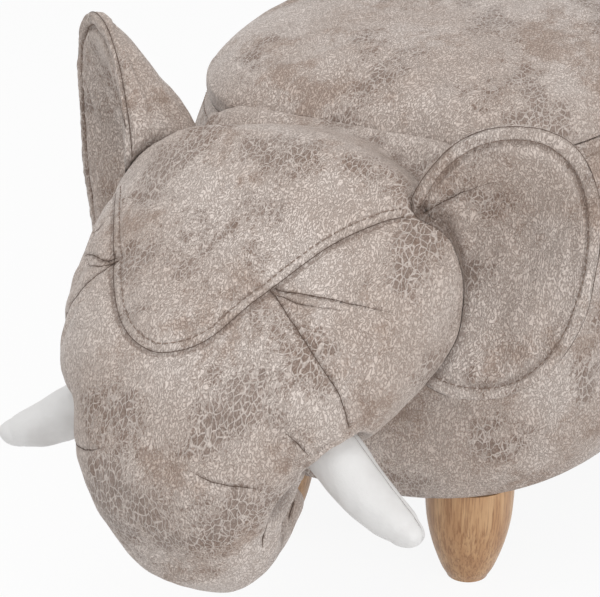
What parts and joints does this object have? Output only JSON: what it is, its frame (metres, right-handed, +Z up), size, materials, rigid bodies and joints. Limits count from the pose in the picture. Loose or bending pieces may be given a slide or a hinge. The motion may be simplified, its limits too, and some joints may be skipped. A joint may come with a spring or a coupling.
{
  "type": "elephant storage pouf",
  "caption": "Padded elephant-shaped storage seat in distressed leather cloth, with stuffed head, ears, trunk and white tusks, turned legs and a hinged lid over a lined box.",
  "frame": {"origin": "centre of the part's box in plan, on the floor", "axes": "head faces -Y, the animal's left is +X, +Z up"},
  "size_m": [0.3968, 0.7016, 0.4009],
  "materials": {
    "leather_cloth": "distressed taupe-grey leather cloth, soft sheen",
    "white_leather_cloth": "smooth white leather cloth",
    "oak": "turned oak, satin lacquer",
    "plywood": "raw plywood",
    "foam": "upholstery foam",
    "lining_cloth": "black lining cloth",
    "steel": "zinc-plated steel"
  },
  "bodies": {
    "base": {"base_board": "plywood", "body_cover": "leather_cloth", "dust_cover": "lining_cloth", "ear_left": "leather_cloth", "ear_right": "leather_cloth", "front_padding": "foam", "front_wall": "plywood", "head": "leather_cloth", "hinge_left_fixed_leaf": "steel", "hinge_left_pin": "steel", "hinge_left_wall_screw_a": "steel", "hinge_left_wall_screw_b": "steel", "hinge_right_fixed_leaf": "steel", "hinge_right_pin": "steel", "hinge_right_wall_screw_a": "steel", "hinge_right_wall_screw_b": "steel", "left_padding": "foam", "left_wall": "plywood", "leg_front_left": "oak", "leg_front_right": "oak", "leg_nut_front_left": "steel", "leg_nut_front_right": "steel", "leg_nut_rear_left": "steel", "leg_nut_rear_right": "steel", "leg_rear_left": "oak", "leg_rear_right": "oak", "leg_stud_front_left": "steel", "leg_stud_front_right": "steel", "leg_stud_rear_left": "steel", "leg_stud_rear_right": "steel", "rear_padding": "foam", "rear_wall": "plywood", "right_padding": "foam", "right_wall": "plywood", "storage_lining": "lining_cloth", "tail": "leather_cloth", "trunk": "leather_cloth", "tusk_left": "white_leather_cloth", "tusk_right": "white_leather_cloth"},
    "lid": {"hinge_left_lid_leaf": "steel", "hinge_left_lid_screw_a": "steel", "hinge_left_lid_screw_b": "steel", "hinge_right_lid_leaf": "steel", "hinge_right_lid_screw_a": "steel", "hinge_right_lid_screw_b": "steel", "lid_board": "plywood", "lid_cover": "leather_cloth", "lid_foam": "foam", "lid_lining": "lining_cloth"}
  },
  "joints": [
    {"name": "lid_hinge", "type": "hinge", "parent": "base", "child": "lid", "pos_m": [0, 0.32382, 0.3302], "axis": [-1, 0, 0], "range_deg": [0, 95]}
  ]
}
